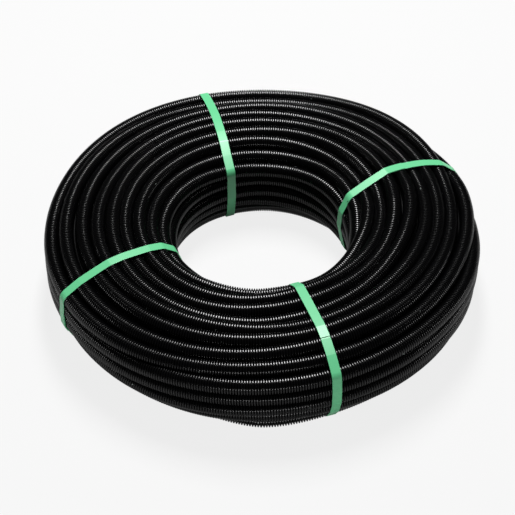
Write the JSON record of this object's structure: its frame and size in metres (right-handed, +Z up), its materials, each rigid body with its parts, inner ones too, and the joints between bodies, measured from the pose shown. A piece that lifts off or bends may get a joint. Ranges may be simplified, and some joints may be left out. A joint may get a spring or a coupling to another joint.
{
  "type": "corrugated conduit coil",
  "caption": "Tied coil of flexible black corrugated plastic conduit, wound flat with an open centre and held by green plastic straps.",
  "frame": {"origin": "centre of the coil on the surface that it lies on", "axes": "+Z up along the coil's axis, -Y towards the viewer in the picture, +X to the viewer's right"},
  "size_m": [0.5604, 0.5604, 0.1157],
  "materials": {
    "conduit_plastic": "glossy",
    "strap_plastic": "embossed satin"
  },
  "bodies": {
    "root": {"conduit_coil": "conduit_plastic", "strap_front": "strap_plastic", "strap_right": "strap_plastic", "strap_back": "strap_plastic", "strap_left": "strap_plastic"}
  },
  "joints": []
}
